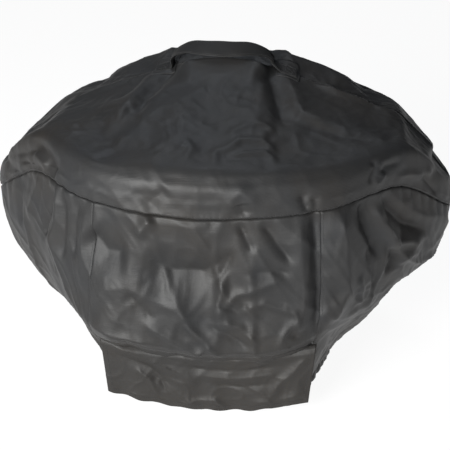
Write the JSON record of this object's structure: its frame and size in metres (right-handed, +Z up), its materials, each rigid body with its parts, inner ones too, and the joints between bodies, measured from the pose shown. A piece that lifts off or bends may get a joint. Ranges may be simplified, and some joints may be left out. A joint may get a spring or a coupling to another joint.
{
  "type": "grill cover",
  "caption": "Fitted fabric grill cover with side wings, a lift handle on top, a front flap and an elastic hem, in its worn shape.",
  "frame": {"origin": "middle of the footprint's bounding box, on the surface that the hem stands on", "axes": "+Z up, the front with the flap faces -Y, the wings point along +X and -X"},
  "size_m": [0.8736, 0.568, 0.6211],
  "materials": {
    "coated_fabric": "satin, coated woven polyester",
    "strap_fabric": "satin, folded and stitched",
    "seam_tape": "matte woven binding",
    "thread": "matte sewing thread",
    "elastic": "matte woven elastic"
  },
  "bodies": {
    "cover": {"top_front_panel": "coated_fabric", "top_rear_panel": "coated_fabric", "front_skirt_upper": "coated_fabric", "front_skirt_lower": "coated_fabric", "right_skirt": "coated_fabric", "left_skirt": "coated_fabric", "rear_skirt": "coated_fabric", "hem_casing": "coated_fabric", "handle_left_patch": "coated_fabric", "handle_right_patch": "coated_fabric", "arch_seam_tape": "seam_tape", "right_wing_tape": "seam_tape", "left_wing_tape": "seam_tape", "main_seam_tape_front": "seam_tape", "main_seam_tape_rear": "seam_tape", "flap_seam_tape": "seam_tape", "right_front_seam_tape": "seam_tape", "left_front_seam_tape": "seam_tape", "right_rear_seam_tape": "seam_tape", "left_rear_seam_tape": "seam_tape", "handle_left_end": "strap_fabric", "handle_right_end": "strap_fabric", "handle_left_bar_tack": "thread", "handle_right_bar_tack": "thread", "hem_elastic": "elastic"},
    "handle": {"handle_strap": "strap_fabric"},
    "front_flap": {"flap_panel": "coated_fabric", "flap_bottom_binding": "seam_tape", "flap_right_binding": "seam_tape", "flap_left_binding": "seam_tape"}
  },
  "joints": [
    {"name": "handle_swing", "type": "hinge", "parent": "cover", "child": "handle", "pos_m": [0, 0.086, 0.58094], "axis": [1, 0, 0], "range_deg": [-50, 15]},
    {"name": "flap_lift", "type": "hinge", "parent": "cover", "child": "front_flap", "pos_m": [0, -0.255, 0.131], "axis": [-1, 0, 0], "range_deg": [0, 110]}
  ]
}
